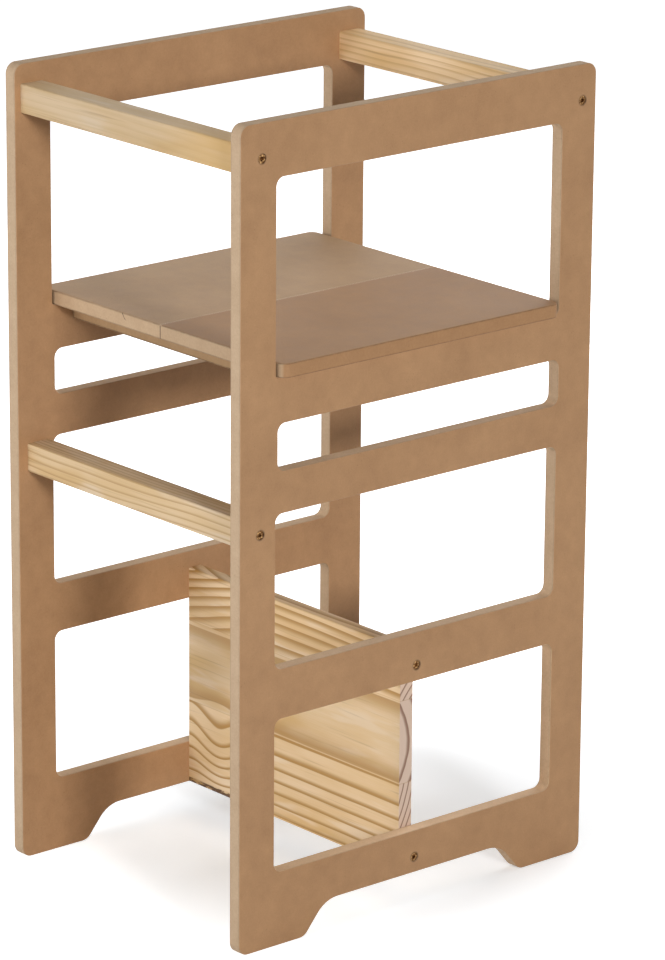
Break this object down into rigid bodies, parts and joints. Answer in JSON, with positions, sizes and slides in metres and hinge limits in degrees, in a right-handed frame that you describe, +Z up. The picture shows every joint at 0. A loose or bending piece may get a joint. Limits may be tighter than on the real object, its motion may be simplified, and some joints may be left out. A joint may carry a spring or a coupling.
{
  "type": "toddler kitchen helper stool",
  "caption": "Free-standing helper stool for a toddler: windowed side panels joined by rails and an upright stretcher, with a platform that rests on window ledges and lifts out.",
  "frame": {"origin": "on the floor under the middle of the stool", "axes": "+X towards the right side panel, +Y from the open front to the rear, +Z up"},
  "size_m": [0.41, 0.494, 0.9],
  "materials": {
    "panel_board": "bare fibreboard, smooth",
    "platform_board": "bare fibreboard, smooth",
    "batten": "bare fibreboard, sawn",
    "pine": "planed pine, bare",
    "dowel_wood": "turned beech, bare",
    "screw_metal": "yellow zinc, dulled"
  },
  "bodies": {
    "frame": {"side_panel_right": "panel_board", "side_panel_left": "panel_board", "top_front_rail": "pine", "top_rear_rail": "pine", "middle_front_rail": "pine", "stretcher_board": "pine", "top_front_rail_screw_right": "screw_metal", "top_front_rail_dowel_right": "dowel_wood", "top_rear_rail_screw_right": "screw_metal", "top_rear_rail_dowel_right": "dowel_wood", "middle_front_rail_screw_right": "screw_metal", "middle_front_rail_dowel_right": "dowel_wood", "stretcher_screws_right": "screw_metal", "top_front_rail_screw_left": "screw_metal", "top_front_rail_dowel_left": "dowel_wood", "top_rear_rail_screw_left": "screw_metal", "top_rear_rail_dowel_left": "dowel_wood", "middle_front_rail_screw_left": "screw_metal", "middle_front_rail_dowel_left": "dowel_wood", "stretcher_screws_left": "screw_metal"},
    "platform": {"platform_board_left": "platform_board", "platform_board_right": "platform_board", "platform_batten_front": "batten", "platform_batten_rear": "batten", "batten_screws_front": "screw_metal", "batten_screws_rear": "screw_metal"}
  },
  "joints": [
    {"name": "platform_lift", "type": "slide", "parent": "frame", "child": "platform", "axis": [0, 0, 1], "range_m": [0, 0.19]}
  ]
}
